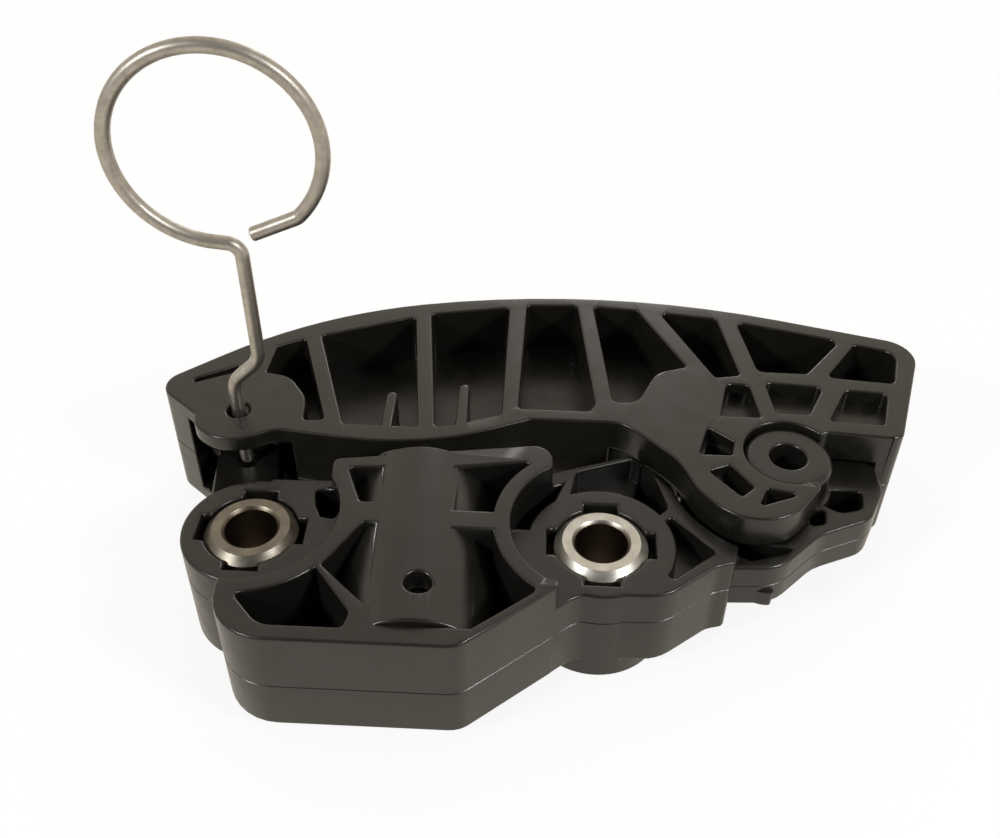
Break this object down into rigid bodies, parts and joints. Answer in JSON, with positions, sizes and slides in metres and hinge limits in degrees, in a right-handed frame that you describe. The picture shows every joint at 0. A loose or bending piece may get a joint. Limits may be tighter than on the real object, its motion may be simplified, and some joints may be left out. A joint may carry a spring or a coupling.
{
  "type": "timing chain tensioner",
  "caption": "Moulded chain tensioner: a bolt-down housing with steel bushings, a sprung plunger, a ribbed arm that hooks on a pivot and a wire locking pin with a pull ring.",
  "frame": {"origin": "axis of the left bolt hole, on the mounting face", "axes": "+X to the right bolt hole, +Y to the arm, +Z along the bolt holes and away from the engine"},
  "size_m": [0.106, 0.0673, 0.0711],
  "materials": {
    "housing_plastic": "moulded black glass-filled nylon",
    "arm_plastic": "moulded black glass-filled nylon",
    "bushing_steel": "turned, satin",
    "wire_steel": "drawn wire",
    "plunger_steel": "ground",
    "spring_steel": "spring wire"
  },
  "bodies": {
    "housing_body": {"housing": "housing_plastic", "left_bushing": "bushing_steel", "right_bushing": "bushing_steel", "sleeve": "plunger_steel", "plunger_spring": "spring_steel", "check_seat": "plunger_steel", "check_cage": "plunger_steel", "check_spring": "spring_steel"},
    "arm_body": {"arm": "arm_plastic"},
    "plunger_body": {"plunger": "plunger_steel"},
    "pin_body": {"locking_pin": "wire_steel"},
    "ball_body": {"check_ball": "plunger_steel"}
  },
  "joints": [
    {"name": "arm_swing", "type": "hinge", "parent": "housing_body", "child": "arm_body", "pos_m": [0.0686, 0.0141, 0.0104], "axis": [0, 0, -1], "range_deg": [0, 12]},
    {"name": "plunger_slide", "type": "slide", "parent": "housing_body", "child": "plunger_body", "axis": [-0.0523, 0.9986, 0], "range_m": [0, 0.0105], "deforming": ["plunger_spring"]},
    {"name": "pin_pull", "type": "slide", "parent": "arm_body", "child": "pin_body", "axis": [0, 0, 1], "range_m": [0, 0.014]},
    {"name": "check_ball_lift", "type": "slide", "parent": "housing_body", "child": "ball_body", "axis": [-0.0523, 0.9986, 0], "range_m": [0, 0.0006], "stiffness_N_per_m": 40, "springref_m": -0.001, "deforming": ["check_spring"]}
  ],
  "couplings": [
    {"joint": "plunger_slide", "follows": "arm_swing", "m_per_rad": 0.0485}
  ]
}
